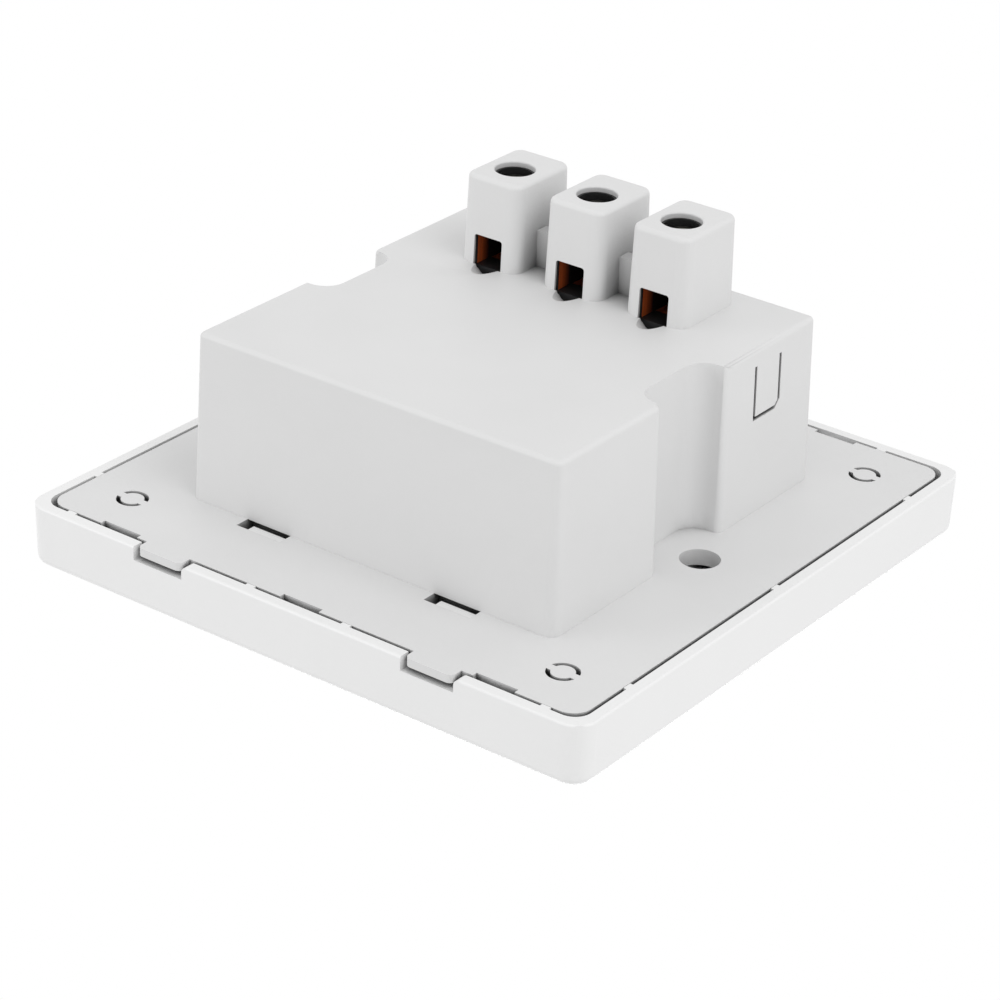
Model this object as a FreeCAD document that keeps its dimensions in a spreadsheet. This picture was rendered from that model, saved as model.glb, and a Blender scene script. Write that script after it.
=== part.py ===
import FreeCAD, Part
import math
import os
import re
import Sketcher

# Wall socket for a square wall box: the frame has +Z up and the socket's face towards -Y.
# The zero point is the centre of the wall plane, where the cover's rear rim meets the wall.
# Everything behind the wall plane, the box and its terminals, lies at positive Y.

doc = FreeCAD.newDocument("wall_socket")
sheet = doc.addObject("Spreadsheet::Sheet", "Sizes")
known = []
nodes = []


def write_sizes(given):
    """Write a group of named sizes, in millimetres or degrees, into the next rows of the sheet."""
    for name, figure in given.items():
        known.append(name)
        row = len(known)
        sheet.set("A%d" % row, name)
        sheet.set("B%d" % row, str(figure))
        sheet.setAlias("B%d" % row, name)
    doc.recompute()


def linked(text):
    """Turn each size's name in the text into a reference to the sheet."""
    return re.sub(r"[a-z_0-9]+", lambda m: ("Sizes." if m.group() in known else "") + m.group(), text)


def figure(text):
    """The number that a text of sizes comes to."""
    return float(sheet.evalExpression(linked(text)))


def bind(thing, name, text):
    """Tie one property, or one constraint, to a text of sizes."""
    thing.setExpression(name, linked(text))


def piece(name):
    """Start the body of one physical piece; its label names the file."""
    body = doc.addObject("PartDesign::Body", name)
    body.Label = name
    nodes.append(body)
    return body


def sketch(body, name, normal, x="0", y="0", z="0", turn=None):
    """An empty sketch square to one axis, with its zero at x, y, z and turned in its plane.

    Its own two directions are X and Z when it is square to y, Y and Z when it is square to x,
    and X and Y when it is square to z.
    """
    role = {"x": "YZ_Plane", "y": "XZ_Plane", "z": "XY_Plane"}[normal]
    place = {"x": (y, z, x), "y": (x, z, "-(%s)" % y), "z": (x, y, z)}[normal]
    made = body.newObject("Sketcher::SketchObject", name)
    plane = next(item for item in body.Origin.OriginFeatures if item.Role == role)
    made.AttachmentSupport = [(plane, "")]
    made.MapMode = "FlatFace"
    if turn:
        spin = FreeCAD.Rotation(FreeCAD.Vector(0, 0, 1), figure(turn))
        made.AttachmentOffset = FreeCAD.Placement(FreeCAD.Vector(), spin)
        bind(made, "AttachmentOffset.Rotation.Angle", turn)
    for axis, text in zip("xyz", place):
        bind(made, "AttachmentOffset.Base." + axis, text)
    return made


def hold(made, axis, curve, end, text):
    """Hold one end of a curve at a distance along x or y from the sketch's zero."""
    reach = figure(text)
    if abs(reach) < 1e-9:
        made.addConstraint(Sketcher.Constraint("PointOnObject", curve, end, -2 if axis == "X" else -1))
        return
    if reach > 0:
        rule = Sketcher.Constraint("Distance" + axis, -1, 1, curve, end, reach)
    else:
        rule = Sketcher.Constraint("Distance" + axis, curve, end, -1, 1, -reach)
        text = "-(%s)" % text
    bind(made, "Constraints[%d]" % made.addConstraint(rule), text)


def polygon(made, points):
    """A closed outline of straight lines through the points, each point held by its sizes."""
    corners = [FreeCAD.Vector(figure(a), figure(b), 0) for a, b in points]
    first = made.GeometryCount
    count = len(corners)
    for i in range(count):
        made.addGeometry(Part.LineSegment(corners[i], corners[(i + 1) % count]), False)
    for i in range(count):
        made.addConstraint(Sketcher.Constraint("Coincident", first + i, 2, first + (i + 1) % count, 1))
        hold(made, "X", first + i, 1, points[i][0])
        hold(made, "Y", first + i, 1, points[i][1])


def rectangle(made, width, height, x="0", y="0"):
    """A sharp rectangle about the point x, y of the sketch."""
    left, right = "%s-(%s)/2" % (x, width), "%s+(%s)/2" % (x, width)
    low, high = "%s-(%s)/2" % (y, height), "%s+(%s)/2" % (y, height)
    polygon(made, [(left, low), (right, low), (right, high), (left, high)])


def rounded(made, width, height, radius, x="0", y="0"):
    """A rectangle about the point x, y with round corners: four lines and four tangent arcs."""
    reach = figure(width) / 2
    rise = figure(height) / 2
    bend = figure(radius)
    middle = FreeCAD.Vector(figure(x), figure(y), 0)
    first = made.GeometryCount
    for quarter in range(4):
        across, along = (reach, rise) if quarter % 2 == 0 else (rise, reach)
        turned = FreeCAD.Rotation(FreeCAD.Vector(0, 0, 1), 90 * quarter)
        start = turned.multVec(FreeCAD.Vector(bend - across, -along, 0)) + middle
        stop = turned.multVec(FreeCAD.Vector(across - bend, -along, 0)) + middle
        hub = turned.multVec(FreeCAD.Vector(across - bend, bend - along, 0)) + middle
        made.addGeometry(Part.LineSegment(start, stop), False)
        circle = Part.Circle(hub, FreeCAD.Vector(0, 0, 1), bend)
        angle = math.radians(90 * quarter)
        made.addGeometry(Part.ArcOfCircle(circle, angle - math.pi / 2, angle), False)
    for quarter in range(4):
        line = first + 2 * quarter
        following = first + (2 * quarter + 2) % 8
        made.addConstraint(Sketcher.Constraint("Tangent", line, 2, line + 1, 1))
        made.addConstraint(Sketcher.Constraint("Tangent", line + 1, 2, following, 1))
        made.addConstraint(Sketcher.Constraint("Horizontal" if quarter % 2 == 0 else "Vertical", line))
        if quarter:
            made.addConstraint(Sketcher.Constraint("Equal", first + 1, line + 1))
    made_radius = made.addConstraint(Sketcher.Constraint("Radius", first + 1, bend))
    bind(made, "Constraints[%d]" % made_radius, radius)
    hold(made, "Y", first, 1, "%s-(%s)/2" % (y, height))
    hold(made, "X", first + 2, 1, "%s+(%s)/2" % (x, width))
    hold(made, "Y", first + 4, 1, "%s+(%s)/2" % (y, height))
    hold(made, "X", first + 6, 1, "%s-(%s)/2" % (x, width))


def disc(made, radius, x="0", y="0"):
    """A circle about the point x, y of the sketch."""
    circle = Part.Circle(FreeCAD.Vector(figure(x), figure(y), 0), FreeCAD.Vector(0, 0, 1), figure(radius))
    curve = made.addGeometry(circle, False)
    hold(made, "X", curve, 3, x)
    hold(made, "Y", curve, 3, y)
    rule = Sketcher.Constraint("Radius", curve, figure(radius))
    bind(made, "Constraints[%d]" % made.addConstraint(rule), radius)


def arc_slot(made, inner, outer, bridge, side, x="0", y="0"):
    """Half a ring about the point x, y, cut short by half a bridge at each end."""
    middle = FreeCAD.Vector(figure(x), figure(y), 0)
    arcs = []
    for radius in (outer, inner):
        swing = math.asin(figure(bridge) / 2 / figure(radius))
        circle = Part.Circle(middle, FreeCAD.Vector(0, 0, 1), figure(radius))
        low, high = (swing, math.pi - swing) if side > 0 else (math.pi + swing, 2 * math.pi - swing)
        arc = made.addGeometry(Part.ArcOfCircle(circle, low, high), False)
        hold(made, "X", arc, 3, x)
        hold(made, "Y", arc, 3, y)
        rule = Sketcher.Constraint("Radius", arc, figure(radius))
        bind(made, "Constraints[%d]" % made.addConstraint(rule), radius)
        for end in (1, 2):
            hold(made, "Y", arc, end, "%s%s(%s)/2" % (y, "+" if side > 0 else "-", bridge))
        arcs.append(arc)
    for end in (1, 2):
        tips = [made.getPoint(arc, end) for arc in arcs]
        line = made.addGeometry(Part.LineSegment(tips[0], tips[1]), False)
        made.addConstraint(Sketcher.Constraint("Coincident", line, 1, arcs[0], end))
        made.addConstraint(Sketcher.Constraint("Coincident", line, 2, arcs[1], end))


def checked(body, feature, before, grows):
    """Recompute and stop if the feature failed or changed the volume the wrong way."""
    doc.recompute()
    change = feature.Shape.Volume - before
    if feature.State[0] != "Up-to-date" or change == 0 or (change > 0) != grows:
        raise ValueError("%s of %s changes %.4f mm3" % (feature.Name, body.Label, change))
    return feature


def extrude(kind, made, length, towards, taper=None):
    """Pad or pocket a sketch by a length towards a side such as +y, with an optional draft."""
    body = made.getParentGeoFeatureGroup()
    before = body.Shape.Volume if body.Tip else 0.0
    feature = body.newObject("PartDesign::" + kind, made.Name + "_" + kind.lower())
    feature.Profile = made
    bind(feature, "Length", length)
    along_normal = (towards[0] == "+") != (towards[1] == "y")
    feature.Reversed = along_normal != (kind == "Pad")
    if taper:
        bind(feature, "TaperAngle", taper)
    return checked(body, feature, before, kind == "Pad")


def pad(made, length, towards, taper=None):
    return extrude("Pad", made, length, towards, taper)


def pocket(made, length, towards, taper=None):
    return extrude("Pocket", made, length, towards, taper)


def turned(body, name, x, z, outline):
    """Revolve an outline of (y, radius) points about the line along Y through x, z."""
    made = sketch(body, name, "x", x, "0", z)
    polygon(made, outline)
    before = body.Shape.Volume if body.Tip else 0.0
    feature = body.newObject("PartDesign::Revolution", name + "_revolution")
    feature.Profile = made
    feature.ReferenceAxis = (made, ["H_Axis"])
    feature.Angle = 360
    return checked(body, feature, before, True)


def dress(kind, body, size, wanted):
    """Fillet or chamfer every edge of the body that the test wants."""
    base = body.Tip
    found = ["Edge%d" % (i + 1) for i, edge in enumerate(base.Shape.Edges) if wanted(edge)]
    feature = body.newObject("PartDesign::" + kind, "%s_%s" % (body.Name, kind.lower()))
    feature.Base = (base, found)
    bind(feature, "Radius" if kind == "Fillet" else "Size", size)
    doc.recompute()
    if feature.State[0] != "Up-to-date":
        raise ValueError("%s of %s failed" % (feature.Name, body.Label))
    return feature


def mirrored(body, features, role):
    """Mirror features of a body about one of its own origin planes."""
    before = body.Shape.Volume
    feature = body.newObject("PartDesign::Mirrored", features[0].Name + "_mirrored")
    feature.Originals = features
    plane = next(item for item in body.Origin.OriginFeatures if item.Role == role)
    feature.MirrorPlane = (plane, [""])
    body.Tip = feature
    doc.recompute()
    if feature.State[0] != "Up-to-date" or abs(feature.Shape.Volume - before) < 1e-6:
        raise ValueError("%s of %s failed" % (feature.Name, body.Label))
    return feature


def level(edge, y):
    """True where the whole edge lies at one height along Y."""
    return abs(edge.BoundBox.YMin - y) < 1e-3 and abs(edge.BoundBox.YMax - y) < 1e-3


# Front cover: a moulded square shell with the face in front and its rear rim on the wall.
COVER_SIZES = {
    "cover_width": 86, "cover_height": 86, "cover_depth": 8.4, "cover_wall": 1.6, "cover_face": 2.0,
    "cover_corner": 3.0, "cover_hollow_corner": 2.4, "cover_edge": 0.7, "cover_draft": 1.5,
    "notch_round": 0.9,
    # Cuts run this far past the surface that they open.
    "overcut": 1.0, "window_overcut": 0.05,
    # Pin pattern: a flat two-pin pair above and a three-pin group below.
    "pin_slot_width": 2.2, "pin_slot_height": 7.0, "pin_slot_bevel": 0.5, "two_pin_pitch": 12.7,
    "two_pin_place": 14.5, "three_pin_place": -11.5, "earth_reach": 10.3, "side_reach": 7.92,
    "pin_tilt": 30,
    # Push button and signal light, in the upper right corner of the face.
    "button_radius": 3.1, "button_gap": 0.2, "button_place_x": 19.5, "button_place_z": 20.3,
    "light_width": 4.2, "light_height": 1.1, "light_gap": 0.15, "light_place_z": 14.7,
    # Groove round the rear plate, snap lugs, centring ribs and the notches for the pry tabs.
    "groove_gap": 0.5, "plate_thick": 2.2, "plate_corner": 2.6, "tab_place": 20.85, "tab_width": 7.0,
    "tab_thick": 1.1, "tab_corner": 0.9, "tab_setback": 0.25, "notch_width": 7.8, "notch_depth": 1.9,
    "lug_slot_width": 6.0, "lug_slot_depth": 0.75, "lug_gap": 0.25, "lug_top": 1.2, "lug_thick": 0.9,
    "lug_place_low": 29.0, "lug_place_high": 24.7, "rib_width": 1.3, "rib_gap": 0.05,
    "rib_side_place": 31.3, "rib_inner_place": 7.4, "rib_outer_place": 36.6, "rib_high_place": 31.4,
}
write_sizes(COVER_SIZES)

PIN_SLOTS = [
    ("two_pin_live", "two_pin_pitch/2", "two_pin_place", None),
    ("two_pin_neutral", "-two_pin_pitch/2", "two_pin_place", None),
    ("three_pin_earth", "0", "three_pin_place+earth_reach", None),
    ("three_pin_live", "side_reach*cos(pin_tilt)", "three_pin_place-side_reach*sin(pin_tilt)", "-pin_tilt"),
    ("three_pin_neutral", "-side_reach*cos(pin_tilt)", "three_pin_place-side_reach*sin(pin_tilt)",
     "pin_tilt"),
]
LUG_PLACES = [
    ("lug_place_low", -1),
    ("0", -1),
    ("-lug_place_low", -1),
    ("lug_place_high", 1),
    ("-lug_place_high", 1),
]


def pin_slots(body, y, grow, depth, towards):
    """Cut all five pin slots, each grown by twice `grow`, from one level of a piece."""
    for name, x, z, turn in PIN_SLOTS:
        made = sketch(body, name + "_slot", "y", x, y, z, turn)
        rectangle(made, "pin_slot_width+2*" + grow, "pin_slot_height+2*" + grow)
        pocket(made, depth, towards)


def front_cover():
    body = piece("front_cover")
    made = sketch(body, "cover_outline", "y")
    rounded(made, "cover_width", "cover_height", "cover_corner")
    pad(made, "cover_depth", "-y", "-cover_draft")
    front = -figure("cover_depth")
    dress("Chamfer", body, "cover_edge", lambda edge: level(edge, front))
    made = sketch(body, "cover_hollow", "y")
    rounded(made, "cover_width-2*cover_wall", "cover_height-2*cover_wall", "cover_hollow_corner")
    pocket(made, "cover_depth-cover_face", "-y")
    made = sketch(body, "cover_ribs", "y")
    wall = "(cover_height/2-cover_wall)"
    depth = "(groove_gap-rib_gap)"
    for place in ("rib_inner_place", "rib_outer_place"):
        for sign in ("", "-"):
            rectangle(made, "rib_width", "2*" + depth, sign + place, "-" + wall)
    for sign in ("", "-"):
        rectangle(made, "rib_width", "2*" + depth, sign + "rib_high_place", wall)
    pad(made, "plate_thick", "-y")
    made = sketch(body, "cover_side_ribs", "y")
    side = "(cover_width/2-cover_wall)"
    for place in ("rib_side_place", "0", "-rib_side_place"):
        rectangle(made, "2*" + depth, "rib_width", side, place)
    ribs = pad(made, "plate_thick", "-y")
    mirrored(body, [ribs], "YZ_Plane")
    made = sketch(body, "cover_lugs", "y", "0", "-lug_top", "0")
    reach = "(groove_gap+lug_slot_depth-lug_gap)"
    for place, sign in LUG_PLACES:
        z = "cover_height/2-cover_wall" if sign > 0 else "cover_wall-cover_height/2"
        rectangle(made, "lug_slot_width-2*lug_gap", "2*" + reach, place, z)
    pad(made, "lug_thick", "-y")
    made = sketch(body, "tab_notches", "y")
    for sign in ("", "-"):
        rectangle(made, "notch_width", "2*cover_wall+overcut", sign + "tab_place", "-cover_height/2")
    pocket(made, "notch_depth", "-y")
    # One end of the rim at each notch is rounded, where the cover is pulled over the tab.
    ends = [sign * figure("tab_place") - figure("notch_width") / 2 for sign in (1, -1)]
    dress("Fillet", body, "notch_round", lambda edge: level(edge, 0) and edge.BoundBox.XLength < 1e-3
          and any(abs(edge.BoundBox.Center.x - end) < 1e-3 for end in ends))
    pin_slots(body, "-cover_depth", "0", "cover_face+overcut", "+y")
    dress("Chamfer", body, "pin_slot_bevel", lambda edge: level(edge, front)
          and edge.BoundBox.DiagonalLength < figure("pin_slot_height+pin_slot_width")
          and abs(edge.BoundBox.Center.x) < figure("cover_width") / 4)
    made = sketch(body, "button_hole", "y", "button_place_x", "-cover_depth", "button_place_z")
    disc(made, "button_radius+button_gap")
    pocket(made, "cover_face+overcut", "+y")
    made = sketch(body, "light_hole", "y", "button_place_x", "-cover_depth", "light_place_z")
    rectangle(made, "light_width+2*light_gap", "light_height+2*light_gap")
    pocket(made, "cover_face+overcut", "+y")


# Rear housing: the plate inside the cover's rim, the deep box behind it and three towers.
HOUSING_SIZES = {
    "box_width": 56.6, "box_height": 56.6, "box_depth": 22.8, "box_wall": 2.0, "box_draft": 1.7,
    "box_corner": 1.5, "cavity_wall": 2.4, "bay_width": 14.0, "bay_floor": 23.7, "bay_corner": 3.0,
    "bay_wall": 1.8, "tower_pitch": 13.0, "tower_width": 9.2, "tower_length": 12.3,
    "tower_height": 12.1, "tower_place": 18.35, "tower_draft": 1.4, "tower_corner": 1.8,
    "tower_roof": 3.6, "web_place": 17.8, "web_thick": 2.0, "web_height": 5.0, "web_root": 1.0,
    "shaft_width": 7.0, "shaft_near": 13.6, "shaft_far": 22.7, "screw_place": 17.6,
    "screw_hole_radius": 2.65,
    # Wire entries: a window in each tower, a hollow behind its lip and a round lead-in before it.
    "wire_width": 4.4, "wire_height": 4.1, "wire_corner": 0.4, "wire_overlap": 0.6, "wire_lip": 0.35,
    "dip_radius": 2.0, "dip_depth": 1.5, "lead_in_slope": 25, "lead_in_length": 5, "lead_in_start": 1.0,
    "snout_room_width": 6.4, "snout_room_rim": 0.5, "fixing_spacing": 60.3, "fixing_radius": 2.6,
    "ring_place": 33.5, "ring_outer": 2.1, "ring_inner": 1.5, "ring_bridge": 1.1, "catch_place": 14.75,
    "catch_slot_width": 7.0, "catch_slot_height": 2.1, "catch_slot_under": 1.2,
    "catch_slot_shift": 0.65, "finger_low": 14.2, "finger_width": 5.1, "finger_tip": 13.6,
    "finger_root": 20.5, "finger_slit": 0.5, "finger_bend": 0.6, "finger_overlap": 0.2,
    "boss_place_x": 23.9, "boss_place_z": 11.2, "boss_radius": 2.6, "pilot_radius": 1.05,
    "pilot_depth": 8.0,
}
write_sizes(HOUSING_SIZES)

PLATE_WIDTH = "(cover_width-2*cover_wall-2*groove_gap)"
PLATE_HEIGHT = "(cover_height-2*cover_wall-2*groove_gap)"
TERMINAL_X = {"live": "tower_pitch", "earth": "0", "neutral": "-tower_pitch"}
TOWER_FACE = "(tower_place-tower_length/2)"


def rear_housing():
    body = piece("rear_housing")
    made = sketch(body, "plate_outline", "y")
    rounded(made, PLATE_WIDTH, PLATE_HEIGHT, "plate_corner")
    pad(made, "plate_thick", "-y")
    made = sketch(body, "pry_tabs", "y")
    tab_reach = "((cover_height-%s)/2-tab_setback)" % PLATE_HEIGHT
    for sign in ("", "-"):
        rounded(made, "tab_width", "2*" + tab_reach, "tab_corner", sign + "tab_place",
                "-%s/2" % PLATE_HEIGHT)
    pad(made, "tab_thick", "-y")
    made = sketch(body, "box_outline", "y")
    rounded(made, "box_width", "box_height", "box_corner")
    pad(made, "box_depth", "+y", "-box_draft")
    # The round-bottomed bays at the sides let a screwdriver pass to the fixing screws.
    made = sketch(body, "screw_bay", "y", "0", "box_depth", "0")
    outer = "(box_width/2+bay_corner)"
    rounded(made, outer + "-bay_floor", "bay_width", "bay_corner", "(%s+bay_floor)/2" % outer)
    bay = pocket(made, "box_depth", "-y")
    mirrored(body, [bay], "YZ_Plane")
    made = sketch(body, "towers", "y", "0", "box_depth", "tower_place")
    for x in TERMINAL_X.values():
        rounded(made, "tower_width", "tower_length", "tower_corner", x)
    pad(made, "tower_height", "+y", "-tower_draft")
    made = sketch(body, "tower_webs", "y", "0", "box_depth", "web_place")
    for sign in ("", "-"):
        rectangle(made, "tower_pitch-tower_width+web_root", "web_thick", sign + "tower_pitch/2")
    pad(made, "web_height", "+y")
    # The hollow is narrower between the two bays.
    depth = "plate_thick+box_depth-box_wall"
    made = sketch(body, "hollow", "y", "0", "-plate_thick")
    inner = "(bay_floor-bay_wall)"
    outer = "(box_width/2-cavity_wall)"
    low = "(bay_width/2+bay_wall)"
    high = "(box_height/2-cavity_wall)"
    corner = [(inner, low), (outer, low), (outer, high)]
    made_points = corner + [("-" + x, z) for x, z in corner[::-1]]
    made_points += [("-" + x, "-" + z) for x, z in corner] + [(x, "-" + z) for x, z in corner[::-1]]
    polygon(made, made_points)
    pocket(made, depth, "+y")
    made = sketch(body, "bosses", "y", "0", "box_depth-box_wall")
    for x, z in BOSSES:
        disc(made, "boss_radius", x, z)
    pad(made, depth, "-y")
    made = sketch(body, "pilot_holes", "y", "0", "-plate_thick")
    for x, z in BOSSES:
        disc(made, "pilot_radius", x, z)
    pocket(made, "pilot_depth", "+y")
    terminal_shafts(body)
    plate_openings(body)
    finger_slits(body)


# The two bosses, at opposite corners of the hollow, where the contact base is screwed down.
BOSSES = [("boss_place_x", "-boss_place_z"), ("-boss_place_x", "boss_place_z")]


def terminal_shafts(body):
    """Hollow the towers: the shafts for the clamps, the screw holes, wire windows and lead-ins."""
    made = sketch(body, "shafts", "y", "0", "box_depth-box_wall", "(shaft_near+shaft_far)/2")
    for x in TERMINAL_X.values():
        rectangle(made, "shaft_width", "shaft_far-shaft_near", x)
    pocket(made, "box_wall+tower_height-tower_roof", "+y")
    made = sketch(body, "screw_holes", "y", "0", "box_depth+tower_height", "screw_place")
    for x in TERMINAL_X.values():
        disc(made, "screw_hole_radius", x)
    pocket(made, "tower_roof+overcut", "-y")
    made = sketch(body, "snout_rooms", "z", "0", "0", TOWER_FACE + "+wire_lip")
    low = "box_depth-box_wall"
    high = "box_depth+wire_height+snout_room_rim"
    for x in TERMINAL_X.values():
        left, right = x + "-snout_room_width/2", x + "+snout_room_width/2"
        polygon(made, [(left, low), (right, low), (right, high), (left, high)])
    pocket(made, "shaft_near-%s-wire_lip+window_overcut" % TOWER_FACE, "+z")
    start = TOWER_FACE + "-window_overcut"
    made = sketch(body, "wire_windows", "z", "0", "box_depth+(wire_height-wire_overlap)/2", start)
    for x in TERMINAL_X.values():
        rounded(made, "wire_width", "wire_height+wire_overlap", "wire_corner", x)
    pocket(made, "wire_lip+2*window_overcut", "+z")
    middle = "box_depth+dip_radius-dip_depth"
    made = sketch(body, "wire_dips", "z", "0", middle, start)
    for x in TERMINAL_X.values():
        disc(made, "dip_radius", x)
    pocket(made, "wire_lip+2*window_overcut", "+z")
    for name, x in TERMINAL_X.items():
        before = body.Shape.Volume
        ramp = body.newObject("PartDesign::SubtractiveCylinder", name + "_lead_in")
        plane = next(item for item in body.Origin.OriginFeatures if item.Role == "XY_Plane")
        ramp.AttachmentSupport = [(plane, "")]
        ramp.MapMode = "FlatFace"
        tilt = FreeCAD.Rotation(FreeCAD.Vector(1, 0, 0), 180 + figure("lead_in_slope"))
        ramp.AttachmentOffset = FreeCAD.Placement(FreeCAD.Vector(), tilt)
        bind(ramp, "AttachmentOffset.Rotation.Angle", "180+lead_in_slope")
        bind(ramp, "AttachmentOffset.Base.x", x)
        bind(ramp, "AttachmentOffset.Base.y", middle)
        bind(ramp, "AttachmentOffset.Base.z", TOWER_FACE + "+lead_in_start")
        bind(ramp, "Radius", "dip_radius")
        bind(ramp, "Height", "lead_in_length")
        checked(body, ramp, before, False)


def plate_openings(body):
    """Cut the plate: fixing holes, corner rings, lug slots and the slots for the frame's catches."""
    made = sketch(body, "fixing_holes", "y")
    for sign in ("", "-"):
        disc(made, "fixing_radius", sign + "fixing_spacing/2")
    pocket(made, "plate_thick", "-y")
    made = sketch(body, "corner_rings", "y")
    for right in ("", "-"):
        for up in ("", "-"):
            for side in (1, -1):
                arc_slot(made, "ring_inner", "ring_outer", "ring_bridge", side,
                         right + "ring_place", up + "ring_place")
    pocket(made, "plate_thick", "-y")
    made = sketch(body, "lug_slots", "y")
    for place, sign in LUG_PLACES:
        rectangle(made, "lug_slot_width", "2*lug_slot_depth", place, "%d*%s/2" % (sign, PLATE_HEIGHT))
    pocket(made, "plate_thick", "-y")
    made = sketch(body, "catch_slots", "y")
    for right in (1, -1):
        for up in (1, -1):
            x = "%d*catch_place+catch_slot_shift" % right
            z = "%d*(box_height+catch_slot_height-catch_slot_under)/2" % up
            rectangle(made, "catch_slot_width", "catch_slot_height+catch_slot_under", x, z)
    pocket(made, "plate_thick", "-y")


def finger_slits(body):
    """Slit a spring finger free on three sides in each side wall of the box."""
    near = "finger_tip-finger_slit"
    low = "finger_low-finger_slit"
    high = "finger_low+finger_width"
    far = high + "+finger_slit"
    outline = [("finger_root", low), (near, low), (near, far + "-finger_bend-finger_slit")]
    outline += [(near + "+finger_bend+finger_slit", far), ("finger_root", far), ("finger_root", high)]
    outline += [("finger_tip+finger_bend", high), ("finger_tip", high + "-finger_bend")]
    outline += [("finger_tip", "finger_low"), ("finger_root", "finger_low")]
    made = sketch(body, "finger_slit", "x", "box_width/2")
    polygon(made, outline)
    slit = pocket(made, "cavity_wall+finger_overlap", "-x")
    mirrored(body, [slit], "YZ_Plane")


# Shutter frame: the moulding behind the cover's face, held by four catches in the plate's slots.
FRAME_SIZES = {
    "frame_width": 51.2, "frame_height": 62.4, "frame_corner": 2.0, "frame_top": 6.2,
    "frame_thick": 3.0, "frame_wall": 1.1, "frame_slot_grow": 0.1, "catch_width": 5.3,
    "catch_thick": 1.35, "catch_gap": 0.55, "catch_setback": 0.25, "screw_head_gap": 0.4,
    "base_screw_head": 2.2, "flange_side": 7.4, "flange_thick": 1.0, "press_travel": 0.6,
    # Shutters: sliding plates that cover the live and neutral slots until two pins push them aside.
    "shutter_gap": 0.1, "shutter_window_grow": 0.2, "slope_reach": 2.6, "slope_depth": 0.7,
    "two_pin_travel": 2.8, "two_pin_shutter_left": 12.0, "two_pin_shutter_right": 9.0,
    "two_pin_shutter_height": 8.8, "three_pin_travel": 3.2, "three_pin_shutter_left": 14.2,
    "three_pin_shutter_right": 10.8, "three_pin_shutter_height": 9.2, "spring_room": 4.6,
    "spring_gap": 0.1, "spring_folds": 6, "spring_reach": 1.4, "spring_half": 0.45, "spring_width": 0.8,
}
write_sizes(FRAME_SIZES)

THREE_PIN_Z = "(three_pin_place-side_reach*sin(pin_tilt))"
SHUTTERS = [("two_pin", "two_pin_place"), ("three_pin", THREE_PIN_Z)]
CATCHES = [(right + "catch_place", up) for right in ("", "-") for up in ("", "-")]


def shutter_frame():
    body = piece("shutter_frame")
    made = sketch(body, "frame_outline", "y", "0", "-frame_top")
    rounded(made, "frame_width", "frame_height", "frame_corner")
    pad(made, "frame_thick", "+y")
    made = sketch(body, "frame_catches", "y", "0", "frame_thick-frame_top")
    for x, up in CATCHES:
        rectangle(made, "catch_width", "catch_thick", x, up + "(box_height/2+catch_gap+catch_thick/2)")
    pad(made, "frame_top-frame_thick-catch_setback", "+y")
    for name, z in SHUTTERS:
        left = "%s_shutter_left" % name
        right = "(%s_shutter_right+spring_room)" % name
        made = sketch(body, name + "_pocket", "y", "(%s-%s)/2" % (right, left), "frame_thick-frame_top", z)
        wide = "%s+%s+2*shutter_gap" % (left, right)
        rectangle(made, wide, "%s_shutter_height+2*shutter_gap" % name)
        pocket(made, "frame_thick-frame_wall", "-y")
    pin_slots(body, "-frame_top", "frame_slot_grow", "frame_thick", "+y")
    made = sketch(body, "frame_screw_holes", "y", "0", "-frame_top")
    for x, z in BOSSES:
        disc(made, "base_screw_head+screw_head_gap", x, z)
    pocket(made, "frame_thick", "+y")
    made = sketch(body, "frame_button_hole", "y", "button_place_x", "-frame_top", "button_place_z")
    disc(made, "button_radius+button_slide_gap")
    pocket(made, "frame_thick", "+y")
    made = sketch(body, "frame_button_seat", "y", "button_place_x", "frame_thick-frame_top",
                  "button_place_z")
    rectangle(made, "flange_side+2*button_gap", "flange_side+2*button_gap")
    pocket(made, "frame_thick-frame_wall", "-y")
    made = sketch(body, "frame_light_hole", "y", "button_place_x", "-frame_top", "light_place_z")
    rectangle(made, "light_width+2*light_gap", "light_height+2*light_gap")
    pocket(made, "frame_thick", "+y")
    made = sketch(body, "frame_light_seat", "y", "button_place_x", "frame_thick-frame_top", "light_place_z")
    rectangle(made, "light_collar_width+2*light_gap", "light_collar_height+2*light_gap")
    pocket(made, "frame_thick-frame_wall", "-y")


def shutters():
    """Both sliding shutters, with windows that stand one travel to the left of the slots."""
    for name, z in SHUTTERS:
        body = piece(name + "_shutter")
        left = "%s_shutter_left" % name
        right = "%s_shutter_right" % name
        y = "frame_wall-frame_top+shutter_gap"
        made = sketch(body, name + "_shutter_outline", "y", "(%s-%s)/2" % (right, left), y, z)
        rectangle(made, left + "+" + right, name + "_shutter_height")
        pad(made, "frame_thick-frame_wall-2*shutter_gap", "+y")
        for slot, x, slot_z, turn in PIN_SLOTS:
            if not slot.startswith(name) or slot.endswith("earth"):
                continue
            made = sketch(body, slot + "_window", "y", x + "-%s_travel" % name, y, slot_z, turn)
            grow = "+2*shutter_window_grow"
            rectangle(made, "pin_slot_width" + grow, "pin_slot_height" + grow)
            pocket(made, "frame_thick", "+y")
            # The slope beside the window is what a pin pushes on to slide the shutter.
            made = sketch(body, slot + "_slope", "y", x + "-%s_travel" % name, y, slot_z, turn)
            polygon(made, [("0", "-pin_slot_height/2"), ("slope_reach", "-pin_slot_height/2"),
                           ("slope_reach", "pin_slot_height/2"), ("0", "pin_slot_height/2")])
            pocket(made, "slope_depth", "+y")


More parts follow.
